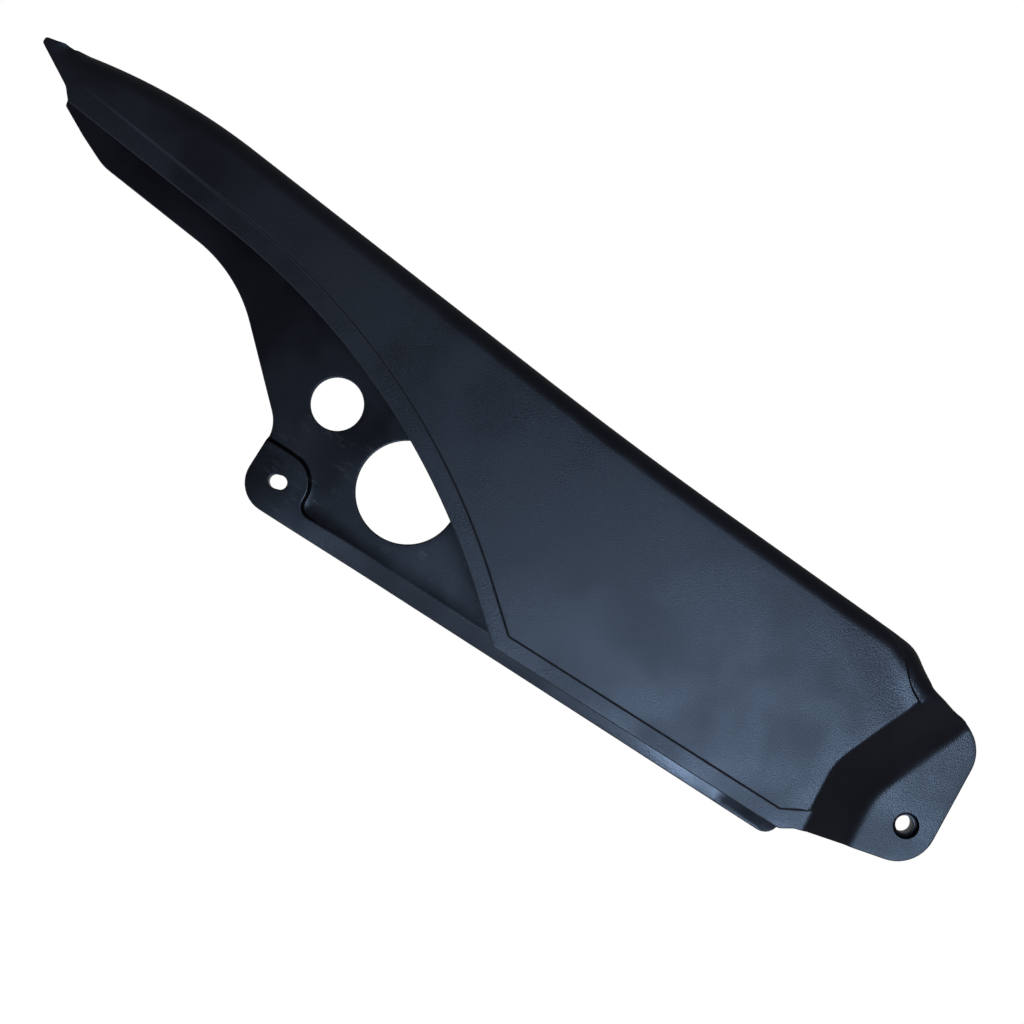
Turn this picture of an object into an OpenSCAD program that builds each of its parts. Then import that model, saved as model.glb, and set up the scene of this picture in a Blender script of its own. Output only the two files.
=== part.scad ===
// Chain guard: a one-piece moulded channel that covers the upper run of a drive chain.
// The origin is the centre of the front bolt hole, on the outer face of the front tab.
// +X points to the front, +Z up, and -Y to the rider's side that the outer panel faces.
// Lengths behind the bolt hole are positive numbers that count along -X.

/* [Section] */
// Thickness of every wall
wall = 2.5; // [1.5:0.1:3.5]
// Depth of the tab's outer face behind the outer panel's face
tab_depth = 22; // [12:1:26]
// Clear width inside the channel, between the outer panel and the inner wall
channel_w = 47.5; // [36:0.5:60]
// Radius of the long edge between the outer panel and the top wall
top_r = 10; // [4:0.5:14]
// Radius of the long edge between the top wall and the inner wall
back_r = 5; // [4:0.5:12]

/* [Top line] */
// Length from the bolt hole back to the tip of the tail
tail_length = 531; // [500:1:560]
// Length of the flat tongue past the rear end of the top wall
tongue_length = 14; // [8:1:20]
// Height of the top line at the rear end of the top wall
tail_height = 97.4; // [92:0.2:99]
// Drop from the rear end of the top wall to the tail's tip
tip_drop = 5.8; // [5:0.2:9]
// Length from the tail's tip forward to the crest, where the two straight stretches would meet
crest_run = 61; // [50:1:75]
// Height of the crest, where the two straight stretches would meet
crest_height = 106.9; // [103:0.1:112]
// Radius of the crest
crest_r = 300; // [150:10:310]
// Length back to the slight hollow in the top line
hollow_length = 205; // [180:1:250]
// Height of the hollow
hollow_height = 80.9; // [78:0.1:84]
// Radius of the hollow
hollow_r = 2500; // [1000:100:4500]
// Length back to the front shoulder
shoulder_length = 44.5; // [40:0.5:56]
// Height of the front shoulder
shoulder_height = 72.3; // [68:0.2:76]
// Radius of the front shoulder
shoulder_r = 18; // [8:1:24]
// Length back to the foot of the shoulder, where the facet starts
neck_length = 27.5; // [26:0.5:32]
// Height of the foot of the shoulder
neck_height = 60.3; // [56:0.2:63]
// Radius of the foot of the shoulder
neck_r = 12; // [4:0.5:14]

/* [Outer panel] */
// Length from the tail's tip forward to the rear lower corner
heel_run = 25; // [20:1:36]
// Drop from the tail's tip to the rear lower corner
heel_drop = 16.6; // [13:0.2:20]
// Length back to the point at which the curved edge bends, on its two end tangents
bend_length = 310; // [290:1:320]
// Height of that point
bend_height = 54; // [48:0.5:58]
// Radius of the curved edge
bend_r = 340; // [200:5:380]
// Length back to the lower corner of the panel
corner_length = 210; // [195:0.5:220]
// Drop of the level lower edge below the bolt hole
panel_drop = 31.5; // [28:0.5:34]
// Width of the recessed border along the lower edges
border_w = 9; // [5:0.5:12]
// Depth of the recessed border
border_step = 1.2; // [0.3:0.1:1.4]
// Length of the stretch at the tail without a recessed border
border_end = 34; // [30:1:60]

/* [Front facet and tab] */
// Length back to the foot of the facet, on the lower edge
facet_foot = 43.5; // [42:0.5:46]
// Rise from the panel's level lower edge to the foot of the facet's edge
facet_rise = 5.4; // [3:0.2:8]
// Length back to the kink of the facet's edge
facet_kink = 50.5; // [48:0.5:54]
// Height of the kink
facet_kink_height = 8; // [2:0.5:14]
// Lean of the facet's edge below the kink, in degrees from upright
facet_lean = 5; // [0:0.5:12]
// Length of the facet's slope, seen along Y and square to its edge
facet_run = 29.4; // [20:0.2:34]
// Length back from the neck to where the facet's edge meets the top line
facet_top_back = 1.8; // [0:0.2:4]
// Reach of the tab in front of the bolt hole
tab_reach = 14.6; // [13:0.1:20]
// Slant of the tab's front edge, in mm along X over its height
tab_slant = 3.5; // [0:0.5:6]
// Height of the tab's upper corner
tab_height = 53.5; // [48:0.5:55]
// Drop of the tab's lower corner
tab_drop = 15.1; // [14:0.1:18]
// Radius of the tab's two corners
tab_r = 19; // [8:0.5:19]
// Diameter of the bolt bore
bolt_d = 8.6; // [6:0.1:9]
// Diameter of the recess for the bolt's washer
washer_d = 12.4; // [10:0.1:14]
// Depth of the washer's recess
washer_depth = 2.8; // [1:0.1:4]
// Outer diameter of the boss behind the tab
boss_d = 18; // [16:0.5:24]
// Length of the boss, from the tab's outer face
boss_length = 10.2; // [6:0.1:14]

/* [Inner wall] */
// Length from the tail's tip forward to the tail of the inner wall
wall_tail_run = 3.5; // [2:0.5:13]
// Drop from the tail's tip to the tail of the inner wall
wall_tail_drop = 15.4; // [12:0.2:19]
// Length from the tail of the inner wall forward to the first bend of its lower edge
wall_step_run = 31.5; // [25:0.5:42]
// Drop from the tail of the inner wall to that bend
wall_step_drop = 15.2; // [11:0.2:19]
// Radius of the first bend
wall_step_r = 24; // [10:1:30]
// Length from the first bend forward to the second, where the edge turns down
wall_bend_run = 83.4; // [70:0.2:90]
// Height of the second bend
wall_bend_height = 52.3; // [48:0.5:58]
// Radius of the second bend
wall_bend_r = 74; // [30:1:74]
// Length back to the rear edge of the slotted tab
lug_length = 356; // [352:0.2:364]
// Height of the bend above the slotted tab, below the bolt hole's height when negative
lug_bend_height = -1.4; // [-4:0.2:6]
// Radius of that bend
lug_bend_r = 18; // [8:1:24]
// Radius of the slotted tab's lower corner
lug_r = 15.5; // [6:0.5:18]
// Drop of the inner wall's lower edge below the bolt hole, at its rear end
wall_drop = 39.8; // [36:0.2:46]
// Drop of the same edge at its front end
wall_front_drop = 41.8; // [36:0.2:46]
// Length back to the front edge of the inner wall
wall_front = 43; // [40:0.5:60]
// Radius of the inner wall's lower front corner
wall_front_r = 8; // [2:1:14]
// Height of the thickened rail along the lower edge
rail_h = 9.5; // [4:0.5:12]
// Thickness that the rail adds to the inner wall
rail_t = 2; // [1:0.1:4]
// Thickness that the pad round the slot adds to the inner wall
pad_t = 3; // [1:0.1:4]
// Length of the slot
slot_length = 9.2; // [8:0.1:14]
// Width of the slot
slot_w = 7; // [5:0.1:8]
// Angle of the slot above the X axis
slot_angle = 17.5; // [0:0.5:45]
// Length from the slotted tab's rear edge forward to the slot's centre
slot_run = 15.9; // [14:0.1:18]
// Drop of the slot's centre
slot_drop = 23.6; // [20:0.1:26]
// Distance from the slot's centre to the edge of its pad
pad_r = 15.5; // [10:0.5:16]
// Diameter of the large lightening hole
large_d = 50.8; // [30:0.2:52]
// Length from the slotted tab's rear edge forward to the large hole's centre
large_run = 71.8; // [64:0.2:78]
// Height of the large hole's centre
large_height = 5.8; // [2:0.2:10]
// Diameter of the small lightening hole
small_d = 26.2; // [14:0.2:28]
// Length from the slotted tab's rear edge forward to the small hole's centre
small_run = 19.6; // [16:0.2:24]
// Height of the small hole's centre
small_height = 24; // [22:0.2:28]

/* [Hidden] */
// Largest gap between a curve and the chords that stand for it
chord_gap = 0.06;
// Steps round each long rounded edge
edge_steps = 6;
// Length by which cutting shapes pass what they cut
over = 10;
// Radius of small corners in the outlines
small_r = 2;
// Drop of the tongue's upper edge to where it meets the top wall's rounded edge
tongue_dip = 1.5;
// Overlap of the tongues with the lower edges of the walls in front of them
tongue_lap = 0.1;
// Length of the short slope between the panel's level lower edge and the facet
foot_slope = 6.5;
// Length from the facet's foot to that slope
foot_gap = 5.5;
// The lower edge's corner between facet and tab
tab_foot = [-16.5, -22.6];
// Length that the top wall reaches towards the tab's upper corner
roof_front = 9.5;
// Radius of the two corners of the short slope in front of the facet
foot_r = 3.5;
// Share of the front edge's slant by which the tab's lower corner lies further forward
low_share = 0.3;
// Length from the tail's tip to where the tongue's upper edge starts to dip
tongue_run = 8;
// Side of the block that clears the space before a plane of the facet
block = 200;
panel_y = -tab_depth;
inner_y = panel_y + wall + channel_w;
back_y = inner_y + wall;
low_z = -max(wall_drop, wall_front_drop) - over;
roof_z = crest_height + over;
front_x = tab_reach + over;
top_end = -(tail_length - tongue_length);
tip_height = tail_height - tip_drop;
heel_length = tail_length - heel_run;
heel_height = tip_height - heel_drop;
wall_tail = tail_length - wall_tail_run;
wall_tail_height = tip_height - wall_tail_drop;
wall_step = wall_tail - wall_step_run;
wall_step_height = wall_tail_height - wall_step_drop;
slot_back = lug_length - slot_run;

// Turns a length behind the bolt hole and a height into a point
function at(back, height, r = 0) = [-back, height, r];
function flat(p) = [p[0], p[1]];
function unit(v) = v / norm(v);
// Chords needed for an arc
function chords(r, turn) = max(1, ceil(abs(turn) / (2 * acos(1 - min(0.5, chord_gap / r)))));
// Points that round the corner b, between a and c, with the radius in b
function corner(a, b, c) =
    let (u = unit(flat(a) - flat(b)), v = unit(flat(c) - flat(b)), half = acos(u * v) / 2)
    b[2] <= 0 || half > 89.9 ? [flat(b)] :
    let (
        reach = b[2] / tan(half),
        centre = flat(b) + unit(u + v) * b[2] / sin(half),
        from = flat(b) + u * reach - centre,
        start = atan2(from[1], from[0]),
        turn = (u[0] * v[1] - u[1] * v[0] > 0 ? -1 : 1) * (180 - 2 * half),
        n = chords(b[2], turn)
    )
    [for (i = [0:n]) centre + b[2] * [cos(start + turn * i / n), sin(start + turn * i / n)]];
// An open line of corners with its inner corners rounded
function line(path) = concat(
    [flat(path[0])],
    [for (i = [1:len(path) - 2]) each corner(path[i - 1], path[i], path[i + 1])],
    [flat(path[len(path) - 1])]);
// Joins two lists of points in order of x, leaving out points that nearly share an x
function sorted(v) = len(v) < 2 ? v :
    let (pivot = v[floor(len(v) / 2)])
    concat(sorted([for (x = v) if (x < pivot) x]), [pivot], sorted([for (x = v) if (x > pivot) x]));
function spaced(v, gap) = [for (i = [0:len(v) - 1]) if (i == 0 || v[i] - v[i - 1] > gap) v[i]];

// Line along the top, from the rear end of the top wall to the front
neck = at(neck_length, neck_height, neck_r);
tab_top = [tab_reach - tab_slant, tab_height, tab_r];
nose_slope = (tab_top[1] - neck[1]) / (tab_top[0] - neck[0]);
top_line = line([
    [top_end, tail_height, 0],
    at(tail_length - crest_run, crest_height, crest_r),
    at(hollow_length, hollow_height, hollow_r),
    at(shoulder_length, shoulder_height, shoulder_r),
    neck,
    [front_x, tab_top[1] + nose_slope * (front_x - tab_top[0]), 0]]);
top_rise = (top_line[1][1] - tail_height) / (top_line[1][0] - top_end);
heel_rise = (tip_height - heel_height) / (tail_length - heel_length);

// Height of the panel's corners, and the directions of the facet's two edges
facet_a = at(facet_foot, -panel_drop + facet_rise);
facet_b = at(facet_kink, facet_kink_height);
shoulder_slope = (shoulder_height - neck_height) / (shoulder_length - neck_length);
facet_c = at(neck_length + facet_top_back, neck_height + facet_top_back * shoulder_slope);
high_slant = atan2(facet_c[0] - facet_b[0], facet_c[1] - facet_b[1]);

// Outline of the outer panel and tab, open above the top line
tab_low = [tab_reach + tab_slant * low_share, -tab_drop, tab_r];
panel_line = line([
    at(tail_length, roof_z),
    at(tail_length, tip_height),
    at(heel_length, heel_height, small_r),
    at(bend_length, bend_height, bend_r),
    at(corner_length, -panel_drop, small_r),
    at(facet_foot + foot_gap + foot_slope, -panel_drop, foot_r),
    at(facet_foot + foot_gap, facet_a[1] - small_r, foot_r),
    facet_a,
    [tab_foot[0], tab_foot[1], 0],
    tab_low,
    tab_top,
    [-roof_front, neck[1] + nose_slope * (neck_length - roof_front), 0],
    [-roof_front, roof_z, 0]]);

// Height of the inner wall's lower edge where the top wall ends
wall_tail_z = wall_tail_height - (wall_tail_height - wall_step_height)
    * (wall_tail + top_end) / (wall_tail - wall_step);

// Outline of the inner wall, open above the top line
inner_line = line([
    [top_end, roof_z, 0],
    [top_end, wall_tail_z, 0],
    at(wall_step, wall_step_height, wall_step_r),
    at(wall_step - wall_bend_run, wall_bend_height, wall_bend_r),
    at(lug_length, lug_bend_height, lug_bend_r),
    at(lug_length, -wall_drop, lug_r),
    at(wall_front, -wall_front_drop, wall_front_r),
    at(wall_front, roof_z)]);

// One ring of the solid channel form at x, shrunk by inset: up the panel, over and down
function ring(x, inset) =
    let (
        z = lookup(x, top_line) - inset,
        y_a = panel_y + inset,
        y_b = back_y - inset,
        r_a = top_r - inset,
        r_b = max(0.5, back_r - inset)
    )
    concat(
        [[x, y_a, low_z]],
        [for (i = [0:edge_steps]) let (t = 90 * i / edge_steps)
            [x, y_a + r_a * (1 - cos(t)), z - r_a * (1 - sin(t))]],
        [for (i = [edge_steps:-2:0]) let (t = 90 * i / edge_steps)
            [x, y_b - r_b * (1 - cos(t)), z - r_b * (1 - sin(t))]],
        [[x, y_b, low_z]]);

// The solid form that the channel's skin wraps, shrunk by inset and longer by extra
module form(inset, extra) {
    inner = spaced(sorted([for (p = top_line) p[0]]), 1.5);
    first = inner[0] - extra;
    last = inner[len(inner) - 1] + extra;
    xs = concat(first, [for (i = [extra > 0 ? 0 : 1:len(inner) - (extra > 0 ? 1 : 2)]) inner[i]], last);
    rings = [for (x = xs) ring(x, inset)];
    n = len(rings[0]);
    m = len(rings);
    low = [for (r = rings) concat([[r[0][0], r[0][1], low_z - extra]],
        [for (i = [1:n - 2]) r[i]], [[r[n - 1][0], r[n - 1][1], low_z - extra]])];
    polyhedron(
        points = [for (r = low) each r],
        faces = concat(
            [[for (i = [n - 1:-1:0]) i]],
            [[for (i = [0:n - 1]) (m - 1) * n + i]],
            [for (j = [0:m - 2], i = [0:n - 1])
                [j * n + i, j * n + (i + 1) % n, (j + 1) * n + (i + 1) % n, (j + 1) * n + i]]));
}

// A flat shape drawn in X and Z, standing between two depths
module standing(y_from, y_to) {
    translate([0, y_to, 0])
        rotate([90, 0, 0])
            linear_extrude(y_to - y_from)
                children();
}

// Everything in front of one plane of the facet, moved back by inset
module before_facet(slant, inset) {
    slope = atan2(tab_depth, facet_run);
    translate([facet_b[0], panel_y, facet_b[1]])
        rotate([0, slant, 0])
            rotate([0, 0, slope])
                translate([-block / 2, inset - block, -block / 2])
                    cube(block);
}

// What the front of the channel lacks: the space in front of the facet and the tab
module front_space(inset) {
    intersection() {
        before_facet(facet_lean, inset);
        before_facet(high_slant, inset);
        translate([facet_b[0] - over, panel_y - 3 * over, low_z - 2 * over])
            cube([front_x - facet_b[0] + 3 * over, tab_depth + 3 * over + inset, roof_z - low_z + 4 * over]);
    }
}

// The channel with its top wall, facet and tab, before it is cut to its outlines
module skin() {
    difference() {
        form(0, 0);
        front_space(0);
        difference() {
            form(wall, over);
            front_space(wall);
        }
    }
}

// The flat tongue at the tail, in the plane of one of the two walls, above the lower edge given
module tongue(y_from, y_to, low_edge) {
    standing(y_from, y_to)
        polygon(line(concat(
            low_edge,
            [at(tail_length, tip_height, small_r)],
            [at(tail_length - small_r / 2, tail_height - top_rise * (tongue_length - small_r / 2), small_r)],
            [at(tail_length - tongue_run, tail_height - top_rise * (tongue_length - tongue_run), small_r)],
            [[top_end + wall, tail_height - tongue_dip, 0]])));
}

// The hole for the front bolt: a bore with a recess for its washer
module bolt_hole() {
    translate([0, boss_length + over, 0])
        rotate([90, 0, 0])
            cylinder(d = bolt_d, h = boss_length + 2 * over, $fn = 64);
    translate([0, washer_depth, 0])
        rotate([90, 0, 0])
            cylinder(d = washer_d, h = washer_depth + over, $fn = 64);
}

// A round hole through the inner wall
module wall_hole(back, height, d) {
    translate([-back, back_y + over, height])
        rotate([90, 0, 0])
            cylinder(d = d, h = wall + 2 * over, $fn = 96);
}

// The slot through the inner wall and its pad
module slot_hole() {
    shift = (slot_length - slot_w) / 2;
    translate([-slot_back, back_y + over, -slot_drop])
        rotate([0, -slot_angle, 0]) {
            for (side = [-1, 1])
                translate([side * shift, 0, 0])
                    rotate([90, 0, 0])
                        cylinder(d = slot_w, h = wall + pad_t + 2 * over, $fn = 64);
            translate([-shift, -wall - pad_t - 2 * over, -slot_w / 2])
                cube([2 * shift, wall + pad_t + 2 * over, slot_w]);
        }
}

module chain_guard() {
    color([0.09, 0.10, 0.12])
    difference() {
        union() {
            intersection() {
                skin();
                union() {
                    standing(panel_y - over, wall) polygon(panel_line);
                    standing(wall, back_y + over) polygon(inner_line);
                }
            }
            tongue(panel_y, panel_y + wall, [
                [top_end + wall, tip_height - heel_rise * (tongue_length + wall) + tongue_lap, 0]]);
            tongue(inner_y, back_y, [
                [top_end + wall, wall_tail_z + tongue_lap, 0],
                [top_end, wall_tail_z + tongue_lap, 0],
                at(wall_tail, wall_tail_height, small_r)]);
            // Boss behind the tab
            translate([0, boss_length, 0])
                rotate([90, 0, 0])
                    cylinder(d = boss_d, h = boss_length - wall / 2, $fn = 64);
            // Thickened rail along the lower edge of the inner wall
            standing(inner_y - rail_t, inner_y + wall / 2)
                intersection() {
                    polygon(inner_line);
                    polygon([
                        [-slot_back, -wall_drop - over],
                        [-wall_front + over, low_z],
                        [-wall_front + over, -wall_front_drop + rail_h],
                        [-slot_back, -wall_drop + rail_h]]);
                }
            // Pad round the slot
            standing(inner_y - pad_t, inner_y + wall / 2)
                intersection() {
                    polygon(inner_line);
                    polygon(line([
                        at(lug_length + over, -wall_drop - over),
                        at(slot_back - pad_r, -wall_drop - over),
                        at(slot_back - pad_r, -slot_drop + pad_r, pad_r),
                        at(lug_length + over, -slot_drop + pad_r)]));
                }
        }
        // Recessed border of the outer panel
        standing(panel_y - over, panel_y + border_step)
            difference() {
                translate([-tail_length + border_end, low_z])
                    square([tail_length - border_end - facet_foot, tail_height - low_z]);
                offset(delta = -border_w)
                    polygon(panel_line);
            }
        bolt_hole();
        slot_hole();
        wall_hole(lug_length - large_run, large_height, large_d);
        wall_hole(lug_length - small_run, small_height, small_d);
    }
}

chain_guard();
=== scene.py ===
# %% [markdown]
# # A moulded chain guard in Blender
# The guard is a single moulding of black plastic, about 546 mm long. It is an open channel: a wide
# outer panel, a narrow top wall and a drilled inner wall, with a set-back bolt tab at the front.
# The exact solid comes from the CAD pack. It gives the origin, the size and the holes, and this
# script builds a softer skin round the same dimensions, because the real moulding has rounded
# edges, a joggled border and draft that a plain solid shows too sharply.

import math

import bmesh
import bpy
import numpy as np
from mathutils import Matrix, Vector
from mathutils.geometry import delaunay_2d_cdt


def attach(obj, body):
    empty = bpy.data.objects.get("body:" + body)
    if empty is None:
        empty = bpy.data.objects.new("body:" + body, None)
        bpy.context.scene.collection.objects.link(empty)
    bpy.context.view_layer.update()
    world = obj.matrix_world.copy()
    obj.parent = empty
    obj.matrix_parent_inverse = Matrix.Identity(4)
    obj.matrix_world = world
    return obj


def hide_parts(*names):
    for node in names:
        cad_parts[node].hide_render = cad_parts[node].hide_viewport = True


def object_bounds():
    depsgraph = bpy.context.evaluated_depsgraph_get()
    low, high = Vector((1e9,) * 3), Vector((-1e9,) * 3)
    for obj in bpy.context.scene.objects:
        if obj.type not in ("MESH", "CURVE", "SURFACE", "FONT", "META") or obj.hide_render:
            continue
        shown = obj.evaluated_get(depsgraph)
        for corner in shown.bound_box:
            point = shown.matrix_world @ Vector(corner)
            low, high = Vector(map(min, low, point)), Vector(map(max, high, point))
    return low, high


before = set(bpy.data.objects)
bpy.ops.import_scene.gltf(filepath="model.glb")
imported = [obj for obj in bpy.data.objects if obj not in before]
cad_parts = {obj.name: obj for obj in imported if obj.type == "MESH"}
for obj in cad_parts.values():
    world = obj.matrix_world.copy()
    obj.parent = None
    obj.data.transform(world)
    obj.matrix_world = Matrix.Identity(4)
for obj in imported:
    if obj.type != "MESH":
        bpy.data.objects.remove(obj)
cad_low, cad_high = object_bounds()
MM = 0.001
scene = bpy.context.scene
print("CAD box in mm:", [round(c / MM, 1) for c in (*cad_low, *cad_high)])

# %% [markdown]
# ## Driving dimensions
# They are in millimetres, in the CAD's own frame: the origin is the front bolt hole, +X points
# to the front, +Z up and -Y out of the outer panel. The depths of the panel and of the back are
# read from the CAD box, so that the skin can't drift from the solid.

# %% Sizes shared by every step
PANEL_Y = cad_low.y / MM
BACK_Y = cad_high.y / MM
WALL = 2.5
EDGE_R = 0.6  # rounding of every cut edge
TOP_R = 9.0  # bend between the panel and the top wall
SHOULDER_R = 12.5  # the same bend round the shoulder
NOSE_R = 3.5  # the same bend at the tab
BACK_R = 5.0  # bend between the top wall and the inner wall
ROOF_END = -517.0  # where the top wall ends at the tail
INNER_FRONT = -43.0  # where the inner wall ends at the front
TAB_TOP_END = -9.5  # where the tab's outline meets the top line
print("depth of the channel in mm:", round(BACK_Y - PANEL_Y, 1))


# %% [markdown]
# ## Outlines from few corners
# A workshop drawing gives an outline as corners with a radius. This helper does the same: it
# turns (x, z, radius) corners into an even line of points with true arcs, so the script needs
# no long lists of coordinates.


# %% A line of rounded corners
def rounded(corners, pitch=2.5):
    """Points along corners (x, z, radius), about pitch apart, with arcs where radius > 0."""
    last = len(corners) - 1
    marks = []
    for i, corner in enumerate(corners):
        here = np.array(corner[:2], float)
        radius = corner[2] if len(corner) > 2 else 0.0
        if radius <= 0 or i in (0, last):
            marks.append(here)
            continue
        before = np.array(corners[i - 1][:2], float) - here
        after = np.array(corners[i + 1][:2], float) - here
        u, v = before / np.linalg.norm(before), after / np.linalg.norm(after)
        half = math.acos(np.clip(u @ v, -1, 1)) / 2
        if half > math.pi / 2 - 1e-3:
            marks.append(here)
            continue
        centre = here + (u + v) / np.linalg.norm(u + v) * radius / math.sin(half)
        start = here + u * radius / math.tan(half) - centre
        turn = (math.pi - 2 * half) * (-1 if u[0] * v[1] - u[1] * v[0] > 0 else 1)
        steps = max(2, math.ceil(abs(turn) * max(radius, 2.0) / pitch), math.ceil(abs(turn) / 0.3))
        for k in range(steps + 1):
            a = turn * k / steps
            c, s = math.cos(a), math.sin(a)
            marks.append(centre + np.array([c * start[0] - s * start[1], s * start[0] + c * start[1]]))
    return even(marks, pitch)


def even(marks, pitch):
    """The same line with long stretches cut into equal steps no longer than pitch."""
    out = [marks[0]]
    for a, b in zip(marks[:-1], marks[1:]):
        length = np.linalg.norm(b - a)
        if length < 1e-6:
            continue
        n = max(1, math.ceil(length / pitch - 0.2))
        out += [a + (b - a) * k / n for k in range(1, n + 1)]
    return np.array(out)


def smooth(a, b, x):
    """0 below a, 1 above b and an even S between them."""
    t = np.clip((np.asarray(x, float) - a) / (b - a), 0, 1)
    return t * t * (3 - 2 * t)


def soft_min(a, b, blend):
    """The lower of a and b, with the corner between them rounded over blend."""
    h = np.clip(blend - np.abs(a - b), 0, None) / blend
    return np.minimum(a, b) - h * h * blend / 4


print("points along a corner of 20 mm radius:", len(rounded([(0, 0), (40, 0, 20), (40, 40)])))

# %% [markdown]
# ## The top line and the front sheet
# Seen from the side, the top edge rises from the tail to a low crest, falls in one long hollow
# and drops over a shoulder to the tab. Below it, the front sheet is a depth for each place: the
# panel lies at the front, the tab is set back, and a bent facet with soft edges joins the two.

# %% Top line, corner radii and the facet's depth
LINE_START, LINE_END = -560.0, 40.0  # the line runs on past both ends of the guard
top_corners = [
    (LINE_START, 88.8),
    (ROOF_END, 97.3, 0),
    (-470, 106.8, 300),
    (-205, 80.9, 2500),
    (-44.5, 72.3, 18),
    (-27.5, 60.3, 12),
    (LINE_END, 48.2),
]
top_points = rounded(top_corners, 1.0)
spread = np.arange(LINE_START, LINE_END, 0.5)
top_table = np.interp(spread, top_points[:, 0], top_points[:, 1])
window = np.hanning(9) / np.hanning(9).sum()
top_table[8:-8] = np.convolve(top_table, window, "same")[8:-8]


def top_z(x):
    """Height of the top line at x."""
    return np.interp(x, spread, top_table)


WIDENS_FROM, WIDENS_TO = -60, -46
TIGHTENS_FROM, TIGHTENS_TO = -38, -20


def front_r(x):
    """Radius between panel and top wall: wider round the shoulder, tight at the tab."""
    wide = TOP_R + (SHOULDER_R - TOP_R) * smooth(WIDENS_FROM, WIDENS_TO, x)
    return wide + (NOSE_R - wide) * smooth(TIGHTENS_FROM, TIGHTENS_TO, x)


FACET_KINK = np.array([-50.5, 8.0])  # where the facet's lower and upper parts meet the panel
LOW_SIDE = np.array([0.996, 0.086])  # square to the facet's lower edge, towards the tab
HIGH_SIDE = np.array([0.929, -0.370])  # square to its upper edge
FACET_RUN = 29.4  # length over which the facet goes back from the panel to the tab
KINK_SOFT = 2.5  # how softly the facet's two parts meet, in mm of depth
TAB_SOFT = 2.2  # and the facet and the tab
PANEL_SOFT = 0.7  # and the panel and the facet


def facet_y(x, z):
    """Depth of the facet's two slanted parts, as if they went on for ever."""
    slope = -PANEL_Y / FACET_RUN
    dx, dz = x - FACET_KINK[0], z - FACET_KINK[1]
    low = PANEL_Y + slope * (dx * LOW_SIDE[0] + dz * LOW_SIDE[1])
    high = PANEL_Y + slope * (dx * HIGH_SIDE[0] + dz * HIGH_SIDE[1])
    return soft_min(low, high, KINK_SOFT)


def front_y(x, z, level=0.0):
    """Depth of the outer face. The border's level meets the facet further down its slope."""
    face = soft_min(facet_y(x, z), np.zeros_like(x), TAB_SOFT)
    return -soft_min(-face, -(PANEL_Y + level), PANEL_SOFT)


print("crest of the top line in mm:", round(float(top_table.max()), 1))

# %% [markdown]
# ## Unrolling the channel
# The channel is a folded sheet. Flat, its place is (x, v): v is 0 where the panel starts to
# bend, negative down the panel, and grows over the bend, the top wall, the second bend and down
# the inner wall. Every outline and hole is drawn on the flat sheet, and one function folds it.
# A sheet-metal or card model is made in the same way, and the fold keeps the mesh in one piece.

# %% Fold a flat point into the channel
BEND, ROOF, BEND_2 = 14.0, 38.0, 8.0  # flat widths of the bends and the top wall between them
V1, V2, V3 = BEND, BEND + ROOF, BEND + ROOF + BEND_2
TONGUE_FLAT, TAIL_BENT = -524.0, -510.0
NOSE_BENT, TAB_FLAT = -12.5, -8.5


def flatness(x):
    """1 where the sheet stays flat at its top edge: on the tail's tongues and on the tab."""
    return 1 - smooth(TONGUE_FLAT, TAIL_BENT, x) + smooth(NOSE_BENT, TAB_FLAT, x)


def roof_span(x):
    """Depths between which the top wall runs straight."""
    bent = 1 - flatness(x)
    return front_y(x, top_z(x), 0.0) + front_r(x) * bent, BACK_Y - BACK_R * bent


def fold(x, v, level=0.0):
    """The outer face in mm for flat places x, v."""
    x, v = np.asarray(x, float), np.asarray(v, float)
    top, r = top_z(x), front_r(x)
    turn = np.clip(v / V1, 0, 1) * math.pi / 2
    z_flat = top - r + np.where(v > 0, np.minimum(v, V1) * r / V1, v)
    z_bent = np.where(v > 0, top - r + r * np.sin(turn), z_flat)
    flat = flatness(x)
    bent = 1 - flat
    z_front = z_bent + (z_flat - z_bent) * flat
    y_front = front_y(x, z_front, level) + r * (1 - np.cos(turn)) * bent
    start, end = roof_span(x)
    share = np.clip((v - V1) / ROOF, 0, 1)
    y_roof = start + (end - start) * share
    turn_2 = np.clip((v - V2) / BEND_2, 0, 1) * math.pi / 2
    down = np.maximum(v - V3, 0)
    y_back = end + BACK_R * np.sin(turn_2) * bent
    z_back = top - BACK_R * (1 - np.cos(turn_2)) - down
    z_up = top - BACK_R + np.clip(V3 - v, 0, BEND_2) - down
    z_back = z_back + (z_up - z_back) * flat
    y = np.where(v <= V1, y_front, np.where(v <= V2, y_roof, y_back))
    z = np.where(v <= V1, z_front, np.where(v <= V2, top, z_back))
    return np.stack([x, y, z], -1)


def on_front(points):
    """Flat places of points (x, z) on the front sheet."""
    r = front_r(points[:, 0])
    rise = points[:, 1] - top_z(points[:, 0]) + r
    return np.stack([points[:, 0], np.where(rise > 0, rise * V1 / r, rise)], -1)


def on_inner(points):
    """Flat places of points (x, z) on the inner wall."""
    return np.stack([points[:, 0], V3 + top_z(points[:, 0]) - BACK_R - points[:, 1]], -1)


def on_roof(x, y):
    """Flat places of points (x, y) on the top wall."""
    start, end = roof_span(np.asarray(x, float))
    return np.stack([x, V1 + ROOF * (y - start) / (end - start)], -1)


probe = fold(np.array([-300.0]), np.array([V1 + ROOF / 2]))[0]
print("middle of the top wall at x = -300, in mm:", probe.round(1))

# %% [markdown]
# ## The outline on the flat sheet
# One closed line goes round the whole sheet: down the tail's slanted edge, along the curved
# lower edge, round the tab, back along the shoulder, over the top wall at the front end, along
# the inner wall with its slotted tab, and over the notch at the tail.

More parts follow.
